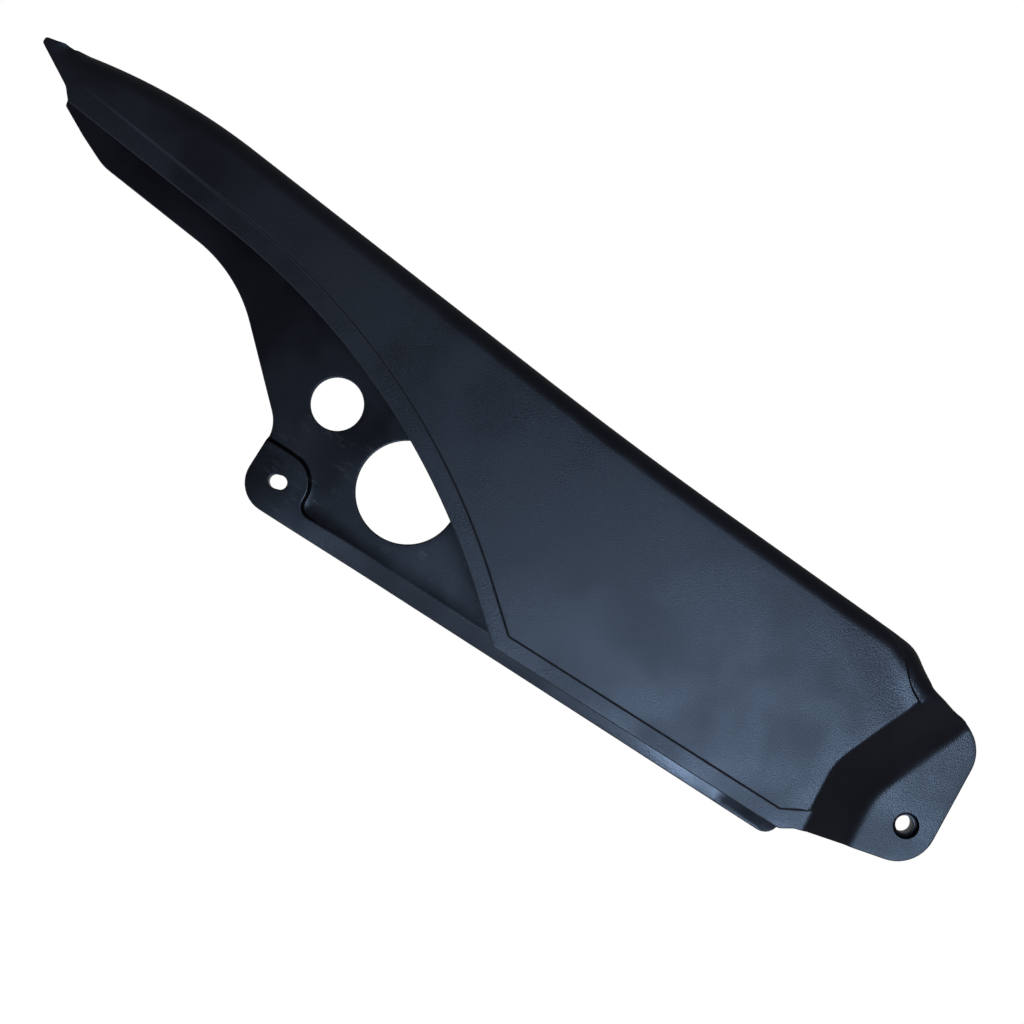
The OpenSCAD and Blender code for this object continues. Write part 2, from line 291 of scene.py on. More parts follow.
# %% Outline of the sheet
TAIL_END = -530.85
PANEL_LOW = -31.5
LUG_REAR = -356
LIP_DEPTH = 2.4  # depth at which the top wall is cut off over the shoulder
NOTCH_X = -516.8
tongue = [
    (-519.5, top_z(-519.5) - 0.2),
    (-521.5, top_z(-521.5) + 0.1, 3),
    (TAIL_END, top_z(TAIL_END) - 0.1, 1.5),
    (TAIL_END, 91.5, 1.5),
]
panel_edge = rounded([
    *tongue,
    (-511.4, 80.3, 6),
    (-506.8, 74.9, 1.5),
    (-310, 54, 340),
    (-210, PANEL_LOW, 1.5),
    (-55.5, PANEL_LOW, 4),
    (-49.5, -27.8, 4),
    (-43.5, -26.1, 0),
    (-16.5, -22.6, 0),
    (15.6, -15.1, 19),
    (11.1, 53.5, 19),
    (TAB_TOP_END, top_z(TAB_TOP_END)),
])
inner_edge = rounded([
    (INNER_FRONT, top_z(INNER_FRONT) - BACK_R),
    (INNER_FRONT, -41.8, 8),
    (LUG_REAR, -39.8, 15.5),
    (LUG_REAR, -1.4, 18),
    (-412.6, 52.3, 74),
    (-496, 61, 24),
    (-512, 68.2, 40),
    (-527.2, 76.2, 1.5),
    *tongue[::-1],
])
lip_x = np.linspace(TAB_TOP_END, INNER_FRONT, 14)
roof_front = on_roof(lip_x, np.full_like(lip_x, LIP_DEPTH))
nose_gap = even([on_front(panel_edge)[-1], roof_front[0]], 2.0)
front_gap = even([roof_front[-1], on_inner(inner_edge)[0]], 2.5)
notch = rounded([
    tuple(on_inner(inner_edge)[-1]),
    (NOTCH_X, V2 + 1.0, 1.5),
    (NOTCH_X, V1 - 1.0, 1.5),
    tuple(on_front(panel_edge)[0]),
], 2.0)
outline = np.concatenate([
    on_front(panel_edge)[:-1], nose_gap[:-1], roof_front[:-1], front_gap[:-1],
    on_inner(inner_edge)[:-1], notch[:-1],
])
print("points round the sheet:", len(outline))


# %% The four holes
def circle(centre, radius, count):
    """Points round a circle."""
    a = np.arange(count) * 2 * math.pi / count
    return np.stack([centre[0] + radius * np.cos(a), centre[1] + radius * np.sin(a)], -1)


def slot_line(centre, length, width, lean, count=40):
    """A slot's outline: a circle whose halves are pulled apart along the slanted long axis."""
    ring = circle((0, 0), width / 2, count)
    ring[:, 0] += np.where(ring[:, 0] > 0, 1, -1) * (length - width) / 2
    c, s = math.cos(lean), math.sin(lean)
    x = centre[0] + c * ring[:, 0] - s * ring[:, 1]
    z = centre[1] + s * ring[:, 0] + c * ring[:, 1]
    return np.stack([x, z], -1)


BOLT_LOOP_R = 5.8  # one edge rounding smaller than the rim that the recess starts from
LARGE_AT, LARGE_R = (-284.2, 5.8), 25.4
SMALL_AT, SMALL_R = (-336.4, 24.0), 13.1
SLOT_AT = (-340.1, -23.6)
SLOT_LENGTH, SLOT_WIDTH, SLOT_LEAN = 9.2, 7.0, math.radians(17.5)
holes = {
    "bolt hole": on_front(circle((0, 0), BOLT_LOOP_R, 64)),
    "large hole": on_inner(circle(LARGE_AT, LARGE_R, 128)),
    "small hole": on_inner(circle(SMALL_AT, SMALL_R, 80)),
    "slot": on_inner(slot_line(SLOT_AT, SLOT_LENGTH, SLOT_WIDTH, SLOT_LEAN)),
}
print("points round each hole:", {name: len(loop) for name, loop in holes.items()})


# %% [markdown]
# ## Raised and thickened places
# The border is a joggle: the whole wall steps in by 1.8 mm outside a line that follows the lower
# edges and the shoulder, and the field dips a little before the shoulder's step. On the
# channel's side, the lug round the slot and the strip along the inner wall's lower edge are one
# raised area of thicker plastic, high at the lug and low and tilted along the strip. A boss
# backs the bolt hole. Each is a height over the flat sheet, found from the distance to its
# line, and each line is laid into the mesh so that its step stays crisp.


# %% Distance to a line, and whether a place is inside it
def distance(points, line):
    """How far each point is from the nearest stretch of the line."""
    best = np.full(len(points), 1e9)
    for a, b in zip(line[:-1], line[1:]):
        d = b - a
        t = np.clip(((points - a) @ d) / max(d @ d, 1e-12), 0, 1)
        best = np.minimum(best, np.linalg.norm(points - a - t[:, None] * d, axis=1))
    return best


def inside(points, loop):
    """Whether each point lies inside the closed loop."""
    hit = np.zeros(len(points), bool)
    for a, b in zip(loop, np.roll(loop, -1, 0)):
        if a[1] == b[1]:
            continue
        span = (a[1] > points[:, 1]) != (b[1] > points[:, 1])
        cross = a[0] + (points[:, 1] - a[1]) * (b[0] - a[0]) / (b[1] - a[1])
        hit ^= span & (points[:, 0] < cross)
    return hit


def beside(line, offset):
    """The same line moved sideways, to its left for a positive offset."""
    step = np.gradient(line, axis=0)
    side = np.stack([-step[:, 1], step[:, 0]], -1) / np.linalg.norm(step, axis=1)[:, None]
    return line + side * offset


print("the slot lies inside the outline:", bool(inside(holes["slot"], outline).all()))

# %% Lines of the border and of the raised area
LUG_TOP = -8.1
LUG_FRONT = -324.6
border_line = on_front(rounded([
    (-545, 89),
    (-306, 62, 340),
    (-206.6, -23.4, 2),
    (-60.3, -23.4, 1.5),
    (-44.8, -15.0),
], 2.5))
shoulder_low = on_front(rounded([(-31.6, 51.2), (-38.5, 54.9, 14), (-49.6, 64.6)], 2.0))
shoulder_line = rounded([
    *map(tuple, shoulder_low[:-1]),
    (*shoulder_low[-1], 6),
    (-57.5, 0.5 * V1, 12),
    (-76, V1 + 3),
], 2.0)
field = np.concatenate([border_line, [(-30.0, -30.0)], shoulder_line, [(-545.0, V1 + 3)]])
raised_line = on_inner(rounded([
    (-358, LUG_TOP),
    (LUG_FRONT, LUG_TOP, 15.5),
    (LUG_FRONT, -30.6, 6),
    (-20, -32.4),
], 2.0))
below_edge = on_inner(np.array([(-20.0, -60.0), (-380.0, -60.0), (-380.0, LUG_TOP)]))
raised_area = np.concatenate([raised_line, below_edge])
bolt_centre = on_front(np.zeros((1, 2)))[0]
print("points along the border, the shoulder and the raised area:",
      len(border_line), len(shoulder_line), len(raised_line))

# %% Heights over the flat sheet
BORDER_STEP = 1.8
STEP_HALF = 0.3  # half the width of the border's step
BORDER_FADE = (-520, -410)  # stretch along X over which the border's step grows from nothing
SHOULDER_DIP = 0.3
DIP_AWAY, DIP_DEEPEST, DIP_NEAR = -26, -8, -0.4  # where the dip starts, is deepest and ends
LUG_RISE = 3.0
STRIP_RISE = 0.5
LUG_TO_STRIP = (-342, -272)  # stretch along X over which the lug's height runs down
LUG_EDGE, STRIP_SOFTER = 0.5, 4.5  # width of the lug's edge, and how much wider the strip's is
EDGE_SOFTENS = (-330, -300)
STRIP_FALL = 0.95  # how far the strip falls towards its lower edge, before its twist
STRIP_REACH = 10  # width over which it falls
TWIST_REAR, TWIST_LOST = 1.8, 0.8  # the fall's factor at the rear, and what it loses forwards
STRIP_TWISTS = (-165, -95)
STRIP_END, END_HALF, END_STEEP = -76.0, 0.4, 3  # its end, half its width and its steepness
BOSS_RISE = 7.7
BOSS_TOP_R, BOSS_FOOT_R = 8.9, 9.7


def signed(points, loop, line):
    """Distance to the line, counted negative outside the loop."""
    return np.where(inside(points, loop), 1, -1) * distance(points, line)


def border_level(points):
    """How far the face lies behind the field: the border, which fades to the tail, and the dip."""
    near = np.minimum(distance(points, border_line), distance(points, shoulder_line))
    out = np.where(inside(points, field), -near, near)
    step = BORDER_STEP * smooth(-STEP_HALF, STEP_HALF, out) * smooth(*BORDER_FADE, points[:, 0])
    from_shoulder = -distance(points, shoulder_line)
    sinks = smooth(DIP_AWAY, DIP_DEEPEST, from_shoulder)
    rises = smooth(DIP_DEEPEST, DIP_NEAR, from_shoulder)
    dip = SHOULDER_DIP * sinks * (1 - rises) * (out < 0)
    return (step + dip) * np.clip(1 - points[:, 1] / V1, 0, 1)


def extra_thickness(points):
    """Plastic added on the channel's side by the lug, the strip and the boss."""
    wall = np.where(points[:, 1] > V3, 1.0, 0.0)
    x = points[:, 0]
    side = signed(points, raised_area, raised_line)
    to_strip = smooth(*LUG_TO_STRIP, x)
    height = LUG_RISE + (STRIP_RISE - LUG_RISE) * to_strip
    ramp = LUG_EDGE + STRIP_SOFTER * smooth(*EDGE_SOFTENS, x)
    reach = np.clip(side, 0, STRIP_REACH) / STRIP_REACH
    ended = smooth(STRIP_END - END_HALF, STRIP_END + END_HALF, x)
    twist = TWIST_REAR - TWIST_LOST * smooth(*STRIP_TWISTS, x)
    fall = STRIP_FALL * twist * reach * (1 - ended)
    end_slope = END_STEEP * STRIP_RISE * (1 - reach) * ended * (side > 0)
    raised = (height * smooth(-ramp, LUG_EDGE, side) - (fall + end_slope) * to_strip) * wall
    from_bolt = np.linalg.norm(points - bolt_centre, axis=1)
    boss = BOSS_RISE * (1 - smooth(BOSS_TOP_R, BOSS_FOOT_R, from_bolt)) * (points[:, 1] < V1)
    return raised + boss


print("border step, strip and lug in mm:", BORDER_STEP, STRIP_RISE, LUG_RISE)

# %% [markdown]
# ## Points, triangles and folding
# The flat sheet is filled with a lattice whose rows follow the bends, and with extra rows along
# every step, so that light breaks exactly where it does on the moulding. A constrained Delaunay
# triangulation joins them inside the outline. The outer face and the channel's face share it.

# %% Lines that the mesh has to follow
def loop_area(loop):
    """Area inside a closed loop, positive where it turns left."""
    return np.sum(loop[:, 0] * np.roll(loop[:, 1], -1) - np.roll(loop[:, 0], -1) * loop[:, 1]) / 2


def inset(loop, amount):
    """A closed loop moved inwards, by an amount measured on the folded channel."""
    step = np.roll(loop, -1, 0) - np.roll(loop, 1, 0)
    side = np.stack([-step[:, 1], step[:, 0]], -1) / np.linalg.norm(step, axis=1)[:, None]
    side *= np.sign(loop_area(loop) * amount)
    ahead = loop + side * 0.2
    stretch = np.linalg.norm(fold(*ahead.T) - fold(*loop.T), axis=1) / 0.2
    return loop + side * (abs(amount) / np.clip(stretch, 0.25, 2))[:, None]


rims = [inset(outline, EDGE_R)] + [inset(h, -EDGE_R) for h in holes.values()]
feature_lines = []
for line, offsets in (
    (border_line, (-0.8, -STEP_HALF, STEP_HALF, 0.8)),
    (shoulder_line, (-0.8, -STEP_HALF, STEP_HALF, 0.8)),
    (raised_line, (-1.2, -LUG_EDGE, 0.0, LUG_EDGE, 1.2)),
):
    feature_lines += [beside(line, o) for o in offsets]
boss_rings = [circle(bolt_centre, radius, 64) for radius in (BOSS_TOP_R, BOSS_FOOT_R)]
feature_lines += [np.concatenate([ring, ring[:1]]) for ring in boss_rings]


LOW_REACH, HIGH_REACH = 50, 75  # lengths of the rows below and above the facet's kink


def facet_lines():
    """Rows along the facet's two long edges, where the face turns."""
    rows = []
    at_panel = (0.0, (-1.2, -0.4, 0.4, 1.2))
    at_tab = (FACET_RUN, (-3.0, -1.5, 0.0, 1.5, 3.0))
    for depth, offsets in (at_panel, at_tab):
        for o in offsets:
            d = depth + o
            meet = np.linalg.solve(np.array([LOW_SIDE, HIGH_SIDE]), [d, d]) + FACET_KINK
            low = meet + np.array([LOW_SIDE[1], -LOW_SIDE[0]]) * LOW_REACH
            high = meet + np.array([-HIGH_SIDE[1], HIGH_SIDE[0]]) * HIGH_REACH
            rows.append(rounded([tuple(low), (*meet, 4.0), tuple(high)], 2.5))
    return rows


feature_lines += [on_front(row) for row in facet_lines()]
print("rims:", len(rims), "and lines along steps and bends:", len(feature_lines))

# %% Fill the flat sheet with points
PITCH, FINE_PITCH = 4.0, 2.5
FINE_FROM, FINE_TO = -70, 16  # the stretch with the shoulder, the facet and the tab
SHEET_REAR, PANEL_ROWS, INNER_ROWS, FINE_ROWS = -532, -160, 165, -110
RIM_GAP, LINE_GAP, STRAND_GAP = 1.3, 0.9, 0.45


def grid_of(columns, rows):
    """Every crossing of the columns and the rows."""
    return np.stack(np.meshgrid(columns, rows), -1).reshape(-1, 2)


def lattice():
    """Rows that follow the bends, closer together over the bends and round the facet."""
    rows = np.concatenate([
        np.arange(PANEL_ROWS, -1, PITCH), np.linspace(0, V1, 11), np.linspace(V1, V2, 10)[1:],
        np.linspace(V2, V3, 7)[1:], np.arange(V3 + 3.5, V3 + INNER_ROWS, PITCH),
    ])
    fine_columns = np.arange(FINE_FROM, FINE_TO, FINE_PITCH)
    grid = grid_of(np.concatenate([np.arange(SHEET_REAR, FINE_FROM, PITCH), fine_columns]), rows)
    coarse = grid[(grid[:, 0] < FINE_FROM) | (grid[:, 1] >= 0)]
    return np.concatenate([coarse, grid_of(fine_columns, np.arange(FINE_ROWS, 0, FINE_PITCH))])


def keep_clear(points, lines, gap):
    """The points that stay further than the gap from every line."""
    ok = np.ones(len(points), bool)
    for line in lines:
        ok &= distance(points, line) > gap
    return points[ok]


def in_sheet(points):
    """Whether each point lies inside the outline's rim and outside the holes' rims."""
    ok = inside(points, rims[0])
    for rim in rims[1:]:
        ok &= ~inside(points, rim)
    return ok


closed_rims = [np.concatenate([r, r[:1]]) for r in rims]
filling = lattice()
filling = filling[in_sheet(filling)]
filling = keep_clear(filling, closed_rims, RIM_GAP)
filling = keep_clear(filling, feature_lines, LINE_GAP)
strands = []
for line in feature_lines:
    ok = in_sheet(line)
    for rim in closed_rims:
        ok &= distance(line, rim) > STRAND_GAP
    for run in np.split(np.arange(len(line)), np.where(~ok)[0]):
        run = [i for i in run if ok[i]]
        if len(run) > 1:
            strands.append(line[run])
print("lattice points:", len(filling), "and strands along steps:", len(strands))

# %% Triangulate the flat sheet
flat_points, flat_edges = [], []


def add_line(line, closed):
    """Put a line into the flat sheet as points and the edges between them."""
    first = len(flat_points)
    flat_points.extend(Vector(p) for p in line)
    n = len(line)
    flat_edges.extend((first + i, first + (i + 1) % n) for i in range(n if closed else n - 1))


for rim in rims:
    add_line(rim, True)
for strand in strands:
    add_line(strand, False)
flat_points.extend(Vector(p) for p in filling)
found = delaunay_2d_cdt(flat_points, flat_edges, [], 0, 1e-5)
flat = np.array([tuple(p) for p in found[0]])
corners = np.array([f for f in found[2]])
corners = corners[in_sheet(flat[corners].mean(1))]
new_of = {}
for i, sources in enumerate(found[3]):
    for s in sources:
        new_of[s] = i
rim_ids, start = [], 0
for rim in rims:
    rim_ids.append([new_of[start + i] for i in range(len(rim))])
    start += len(rim)
print("triangles on one face of the sheet:", len(corners))


# %% [markdown]
# ## From one sheet to a wall
# The channel's face lies one wall thickness behind the outer face, along its normal. The two are
# joined round every rim by a rounded edge, and at the bolt hole by the washer's recess and the
# bore, turned like a part on a lathe.


# %% Offset the two faces from one sheet
OUTER_FINISH, CHANNEL_FINISH = 0, 1  # places of the two finishes in the guard's materials


def skin(points):
    """Outer point, channel-side point and outward normal of flat places, in mm."""
    level = border_level(points)
    x, v = points[:, 0], points[:, 1]
    small = 0.05
    along = fold(x + small, v) - fold(x - small, v)
    across = fold(x, v + small) - fold(x, v - small)
    normal = np.cross(along, across)
    normal /= np.linalg.norm(normal, axis=1)[:, None]
    outer = fold(x, v, level)
    inner = outer - normal * (WALL + extra_thickness(points))[:, None]
    return outer, inner, normal


outer, inner, normal = skin(flat)
vertices = [*outer, *inner]
count = len(flat)
a, b, c = flat[corners[:, 0]], flat[corners[:, 1]], flat[corners[:, 2]]
left_turn = (b[:, 0] - a[:, 0]) * (c[:, 1] - a[:, 1]) - (b[:, 1] - a[:, 1]) * (c[:, 0] - a[:, 0]) > 0
corners[~left_turn] = corners[~left_turn][:, ::-1]
faces = [tuple(t) for t in corners] + [tuple(t[::-1] + count) for t in corners]
finish_of = [OUTER_FINISH] * len(corners) + [CHANNEL_FINISH] * len(corners)
print("triangles on both faces:", len(faces))

# %% Close the rims and turn the bolt hole
RECESS_R, RECESS_DEPTH = 6.2, 2.8
BORE_R = 4.3
BOSS_BACK = WALL + BOSS_RISE
bolt_profile = [  # radius and depth, from the recess's rounded edge to the boss's end
    (6.32, 0.02),
    (6.23, 0.08),
    (RECESS_R, 0.25),
    (RECESS_R, RECESS_DEPTH),
    (BORE_R + 0.3, RECESS_DEPTH),
    (BORE_R, RECESS_DEPTH + 0.3),
    (BORE_R, BOSS_BACK - 0.5),
    (BORE_R + 0.2, BOSS_BACK - 0.1),
    (BORE_R + EDGE_R, BOSS_BACK),
]


def add_ring(ring):
    """Add a ring of corners to the mesh, and give their numbers."""
    first = len(vertices)
    vertices.extend(ring)
    return list(range(first, first + len(ring)))


def join(ring_a, ring_b, turned, finish):
    """A band of four-sided faces between two rings."""
    n = len(ring_a)
    for i in range(n):
        j = (i + 1) % n
        quad = (ring_a[i], ring_a[j], ring_b[j], ring_b[i])
        faces.append(quad[::-1] if turned else quad)
        finish_of.append(finish)


def edge_rings(ids, true_edge):
    """Rings from the outer face over a rounded edge, down the wall and round to the inner face."""
    first, last, up = outer[ids], inner[ids], normal[ids]
    rings = [list(ids)]
    edge_outer = skin(true_edge)[0]
    out_dir = edge_outer - first
    out_dir -= up * np.sum(out_dir * up, 1)[:, None]
    out_dir /= np.linalg.norm(out_dir, axis=1)[:, None]
    turns = [math.pi / 6, math.pi / 3, math.pi / 2]
    profile = [(first, math.sin(t), -(1 - math.cos(t))) for t in turns]
    profile += [(last, math.sin(t), 1 - math.cos(t)) for t in turns[::-1]]
    for base, outwards, height in profile:
        rings.append(add_ring(base + out_dir * EDGE_R * outwards + up * EDGE_R * height))
    rings.append([i + count for i in ids])
    return rings


def bolt_rings(ids):
    """Rings round the bolt's axis: the washer's recess, the bore and the boss's end."""
    rings = [list(ids)]
    angle = np.arange(len(ids)) * 2 * math.pi / len(ids)
    for radius, depth in bolt_profile:
        y = np.full(len(ids), depth)
        rings.append(add_ring(np.stack([radius * np.cos(angle), y, radius * np.sin(angle)], -1)))
    rings.append([i + count for i in ids])
    return rings


true_edges = {"outline": outline, **holes}
for name, rim, ids in zip(true_edges, rims, rim_ids):
    turned = (loop_area(rim) > 0) == (name == "outline")
    finish = OUTER_FINISH
    if name == "bolt hole":
        rings = bolt_rings(ids)
        finish = CHANNEL_FINISH
    else:
        rings = edge_rings(np.array(ids), true_edges[name])
    for r1, r2 in zip(rings[:-1], rings[1:]):
        join(r1, r2, turned, finish)
print("corners of the guard's mesh:", len(vertices), "faces:", len(faces))

# %% Make the mesh object
data = bpy.data.meshes.new("moulded_guard")
data.from_pydata([tuple(np.array(p) * MM) for p in vertices], [], faces)
data.update()
guard = bpy.data.objects.new("moulded_guard", data)
scene.collection.objects.link(guard)
data.polygons.foreach_set("material_index", finish_of)
data.polygons.foreach_set("use_smooth", [True] * len(faces))

bm = bmesh.new()
bm.from_mesh(data)
loose = [v for v in bm.verts if not v.link_faces]
bmesh.ops.delete(bm, geom=loose, context="VERTS")
open_edges = [e for e in bm.edges if len(e.link_faces) != 2]
volume = bm.calc_volume(signed=True)
bm.to_mesh(data)
bm.free()
print("open edges:", len(open_edges), "volume in cm3:", round(volume * 1e6, 1))
shading = guard.modifiers.new("large_faces_lead", "WEIGHTED_NORMAL")
shading.mode = "FACE_AREA_WITH_ANGLE"
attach(guard, "root")
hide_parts("chain_guard")

# %% [markdown]
# ## Black plastic
# The outer face has a fine spark-eroded grain, which makes the sheen broad and soft. The
# channel's side left a polished core: it is smoother and darker, and use has left fine scuffs
# on it, round the lug and below the large hole. Their pale colour also paints a highlight: the
# broad light patch below the large hole is painted on. Both materials use the same two node
# groups with their own values, so that grain and the scuffs with their painted highlight are
# each made in one place.


# %% Node group for the moulded grain
def group_with(name, inputs, outputs):
    """An empty node group with its sockets, and its input and output nodes."""
    group = bpy.data.node_groups.new(name, "ShaderNodeTree")
    for label, default in inputs:
        s = group.interface.new_socket(label, in_out="INPUT", socket_type="NodeSocketFloat")
        s.default_value = default
    for label in outputs:
        group.interface.new_socket(label, in_out="OUTPUT", socket_type="NodeSocketFloat")
    return group, group.nodes.new("NodeGroupInput"), group.nodes.new("NodeGroupOutput")


def node(tree, kind, **settings):
    """A node whose settings go to the inputs of that name, or else to its properties."""
    made = tree.nodes.new(kind)
    for key, value in settings.items():
        if key in made.inputs:
            made.inputs[key].default_value = value
        else:
            setattr(made, key, value)
    return made


def ranged(tree, low, high, **settings):
    """A Map Range node that takes low to 0 and high to 1."""
    made = node(tree, "ShaderNodeMapRange", **settings)
    made.inputs["From Min"].default_value = low
    made.inputs["From Max"].default_value = high
    return made


grain, grain_in, grain_out = group_with(
    "moulded_grain", [("Scale", 1500.0), ("Blotch", 30.0)], ["Height", "Variation"],
)
where = node(grain, "ShaderNodeTexCoord")
fine = node(grain, "ShaderNodeTexNoise", Detail=3.0, Roughness=0.6)
blotch = node(grain, "ShaderNodeTexNoise", Detail=2.0, Roughness=0.5)
for texture, socket in ((fine, "Scale"), (blotch, "Blotch")):
    grain.links.new(where.outputs["Object"], texture.inputs["Vector"])
    grain.links.new(grain_in.outputs[socket], texture.inputs["Scale"])
grain.links.new(fine.outputs["Fac"], grain_out.inputs["Height"])
grain.links.new(blotch.outputs["Fac"], grain_out.inputs["Variation"])
print("made", grain.name)

# %% Node group for scuffs and their painted highlight
# Centre of the scuffs and of the painted highlight, a broad light patch, on the inner wall below the
# large hole
RUB_AND_HIGHLIGHT_AT = (-0.285, 0.028, -0.022)  # in metres, on the inner wall below the large hole
RUB_AND_HIGHLIGHT_CORE, RUB_AND_HIGHLIGHT_END = 0.03, 0.085
scuffs, scuffs_and_highlight_in, scuffs_and_highlight_out = group_with(
    "scuffs", [("Scale", 120.0), ("Amount", 0.6)], ["Mask", "Rubbed"],
)
where = node(scuffs, "ShaderNodeTexCoord")
stretch = node(scuffs, "ShaderNodeMapping")
stretch.inputs["Rotation"].default_value = (0.0, 0.5, 0.0)
stretch.inputs["Scale"].default_value = (0.7, 1.0, 2.0)
streak = node(scuffs, "ShaderNodeTexNoise", Detail=6.0, Roughness=0.7, Distortion=0.3)
patch = node(scuffs, "ShaderNodeTexNoise", Scale=18.0, Detail=1.0)
ramp = ranged(scuffs, 0.56, 0.74)
patch_ramp = ranged(scuffs, 0.38, 0.72, interpolation_type="SMOOTHSTEP")
away = node(scuffs, "ShaderNodeVectorMath", operation="DISTANCE")
away.inputs[1].default_value = RUB_AND_HIGHLIGHT_AT
near = ranged(scuffs, RUB_AND_HIGHLIGHT_END, RUB_AND_HIGHLIGHT_CORE, interpolation_type="SMOOTHSTEP")
# Area of the scuffs and of the painted highlight round the patch's centre
rub_and_highlight_area = node(scuffs, "ShaderNodeMath", operation="MULTIPLY")
both = node(scuffs, "ShaderNodeMath", operation="MULTIPLY")
scaled = node(scuffs, "ShaderNodeMath", operation="MULTIPLY")
for a_socket, b_socket in (
    (where.outputs["Object"], stretch.inputs["Vector"]),
    (stretch.outputs["Vector"], streak.inputs["Vector"]),
    (scuffs_and_highlight_in.outputs["Scale"], streak.inputs["Scale"]),
    (where.outputs["Object"], patch.inputs["Vector"]),
    (streak.outputs["Fac"], ramp.inputs["Value"]),
    (patch.outputs["Fac"], patch_ramp.inputs["Value"]),
    (where.outputs["Object"], away.inputs[0]),
    (away.outputs["Value"], near.inputs["Value"]),
    (near.outputs["Result"], rub_and_highlight_area.inputs[0]),
    (patch_ramp.outputs["Result"], rub_and_highlight_area.inputs[1]),
    (ramp.outputs["Result"], both.inputs[0]),
    (rub_and_highlight_area.outputs[0], both.inputs[1]),
    (rub_and_highlight_area.outputs[0], scuffs_and_highlight_out.inputs["Rubbed"]),
    (both.outputs[0], scaled.inputs[0]),
    (scuffs_and_highlight_in.outputs["Amount"], scaled.inputs[1]),
    (scaled.outputs[0], scuffs_and_highlight_out.inputs["Mask"]),
):
    scuffs.links.new(a_socket, b_socket)
print("made", scuffs.name)


# %% The two finishes
SHEEN_LEVEL = 0.5
# The sheen's blue is the sky light's colour, painted into the plastic's reflection tint; the lamp
# itself is almost white
SKY_BLUE_SHEEN_TINT = (0.52, 0.7, 1.0, 1.0)
# Pale colour of the scuffs, which also paints the light patch below the large hole as a highlight
SCUFF_AND_HIGHLIGHT_COLOUR = (0.16, 0.19, 0.23, 1.0)
SHINIER, DULLER = 0.05, 0.06  # how far the roughness drifts down and up over the surface
RUB_DULLS = 0.3  # roughness that a full scuff adds


def plastic(name, dark, light, rough, grain_scale, bump, scuff):
    """Black plastic whose colour drifts from dark to light, with grain, pale scuffs and a painted
    highlight.
    """
    material = bpy.data.materials.new(name)
    material.use_nodes = True
    tree = material.node_tree
    shader = tree.nodes["Principled BSDF"]
    shader.inputs["Specular IOR Level"].default_value = SHEEN_LEVEL
    shader.inputs["Specular Tint"].default_value = SKY_BLUE_SHEEN_TINT
    surface = node(tree, "ShaderNodeGroup", node_tree=grain)
    surface.inputs["Scale"].default_value = grain_scale
    marks = node(tree, "ShaderNodeGroup", node_tree=scuffs)
    marks.inputs["Amount"].default_value = scuff
    colour = node(tree, "ShaderNodeMix", data_type="RGBA")
    colour.inputs["A"].default_value, colour.inputs["B"].default_value = (*dark, 1), (*light, 1)
    # Mixes in the pale colour: the scuffs, and the painted highlight below the large hole
    scuffed_and_lit = node(tree, "ShaderNodeMix", data_type="RGBA")
    scuffed_and_lit.inputs["B"].default_value = SCUFF_AND_HIGHLIGHT_COLOUR
    gloss = ranged(tree, 0.35, 0.65, interpolation_type="SMOOTHSTEP")
    gloss.inputs["To Min"].default_value = rough - SHINIER
    gloss.inputs["To Max"].default_value = rough + DULLER
    dulled = node(tree, "ShaderNodeMath", operation="MULTIPLY_ADD")
    dulled.inputs[1].default_value = RUB_DULLS * scuff
    relief = node(tree, "ShaderNodeBump", Strength=bump, Distance=0.0004)
    for start_socket, end_socket in (
        (surface.outputs["Variation"], colour.inputs["Factor"]),
        (colour.outputs["Result"], scuffed_and_lit.inputs["A"]),
        (marks.outputs["Mask"], scuffed_and_lit.inputs["Factor"]),
        (scuffed_and_lit.outputs["Result"], shader.inputs["Base Color"]),
        (surface.outputs["Variation"], gloss.inputs["Value"]),
        (marks.outputs["Rubbed"], dulled.inputs[0]),
        (gloss.outputs["Result"], dulled.inputs[2]),
        (dulled.outputs[0], shader.inputs["Roughness"]),
        (surface.outputs["Height"], relief.inputs["Height"]),
        (relief.outputs["Normal"], shader.inputs["Normal"]),
    ):
        tree.links.new(start_socket, end_socket)
    return material


grained = plastic(
    "grained_black_plastic", dark=(0.003, 0.002, 0.003), light=(0.005, 0.004, 0.005),
    rough=0.37, grain_scale=1500.0, bump=0.33, scuff=0.0,
)
polished = plastic(
    "polished_black_plastic", dark=(0.002, 0.001, 0.002), light=(0.004, 0.003, 0.004),
    rough=0.27, grain_scale=700.0, bump=0.1, scuff=0.4,
)
for material in (grained, polished):
    guard.data.materials.append(material)
print("materials:", [m.name for m in guard.data.materials])

# %% [markdown]
# ## Camera, floor and light
# The photograph looks straight at the panel from about 0.65 m, with the camera rolled so that
# the guard hangs down to the lower right. A pale floor lies well below the guard. Most of the
# lamp stands lower than the floor and can't light its top, so the floor gives its own pale
# level to the camera and in reflections, and its edge hides about a third of the lamp from the
# guard. The background is white to the camera, and in reflections only straight behind the
# guard, because a black edge that mirrored a white room would look grey. The light comes from
# one broad soft lamp in front and from the even, dim room.

# %% Camera at the photograph's place
ROLL = math.radians(32.4)
CAMERA_AT = (-0.2357, -0.672, 0.0253)
camera_data = bpy.data.cameras.new("camera")
camera_data.sensor_width = 36.0
camera_data.lens = 50.22
camera = bpy.data.objects.new("camera", camera_data)
scene.collection.objects.link(camera)
right = Vector((math.cos(ROLL), 0, math.sin(ROLL)))
up = Vector((-math.sin(ROLL), 0, math.cos(ROLL)))
towards = Vector((0, -1, 0))
turned_axes = Matrix((right, up, towards)).transposed().to_4x4()
camera.matrix_world = Matrix.Translation(CAMERA_AT) @ turned_axes
scene.camera = camera
print("camera lens in mm:", camera_data.lens)

